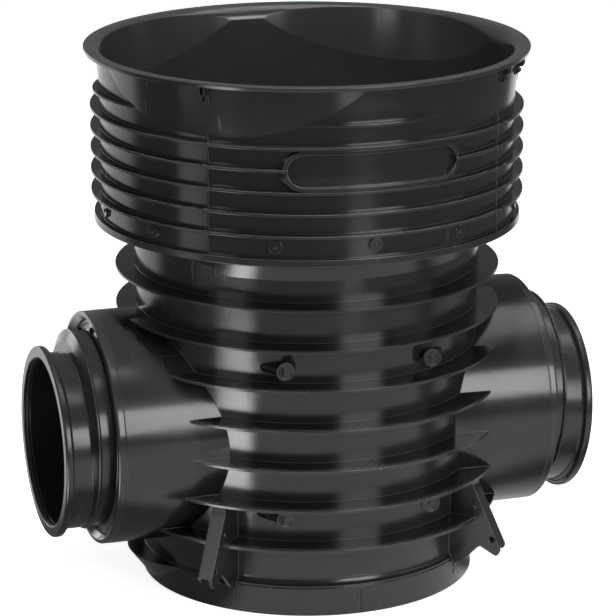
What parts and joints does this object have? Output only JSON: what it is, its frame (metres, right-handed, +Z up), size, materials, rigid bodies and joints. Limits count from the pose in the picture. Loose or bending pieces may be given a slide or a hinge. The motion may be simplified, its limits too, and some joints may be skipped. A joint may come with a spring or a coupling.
{
  "type": "drain inspection chamber base",
  "caption": "Round ribbed drain chamber base with a flanged riser socket above an open flow channel and a swivelling offset pipe socket at each end.",
  "frame": {"origin": "centre of the foot's underside, on the chamber axis", "axes": "+Z up along the chamber axis, +X along the flow towards the outlet socket, -Y the face with the raised panel"},
  "size_m": [0.6668, 0.5298, 0.648],
  "materials": {
    "plastic": "glossy black injection-moulded polypropylene",
    "rubber": "satin black sealing rubber"
  },
  "bodies": {
    "base": {"base_body": "plastic", "riser_socket": "plastic", "inlet_retaining_ring": "plastic", "outlet_retaining_ring": "plastic"},
    "inlet_seal_ring": {"inlet_ball_seal": "rubber"},
    "outlet_seal_ring": {"outlet_ball_seal": "rubber"},
    "inlet_swivel": {"inlet_socket": "plastic", "inlet_pipe_seal": "rubber"},
    "outlet_swivel": {"outlet_socket": "plastic", "outlet_pipe_seal": "rubber"}
  },
  "joints": [
    {"name": "inlet_swing", "type": "hinge", "parent": "base", "child": "inlet_seal_ring", "pos_m": [-0.244, 0, 0.1962], "axis": [0, 0, 1], "range_deg": [-7.5, 7.5]},
    {"name": "inlet_tilt", "type": "hinge", "parent": "inlet_seal_ring", "child": "inlet_swivel", "pos_m": [-0.244, 0, 0.1962], "axis": [0, 1, 0], "range_deg": [-7.5, 7.5]},
    {"name": "outlet_swing", "type": "hinge", "parent": "base", "child": "outlet_seal_ring", "pos_m": [0.244, 0, 0.1962], "axis": [0, 0, 1], "range_deg": [-7.5, 7.5]},
    {"name": "outlet_tilt", "type": "hinge", "parent": "outlet_seal_ring", "child": "outlet_swivel", "pos_m": [0.244, 0, 0.1962], "axis": [0, 1, 0], "range_deg": [-10.3, 4.7]}
  ]
}
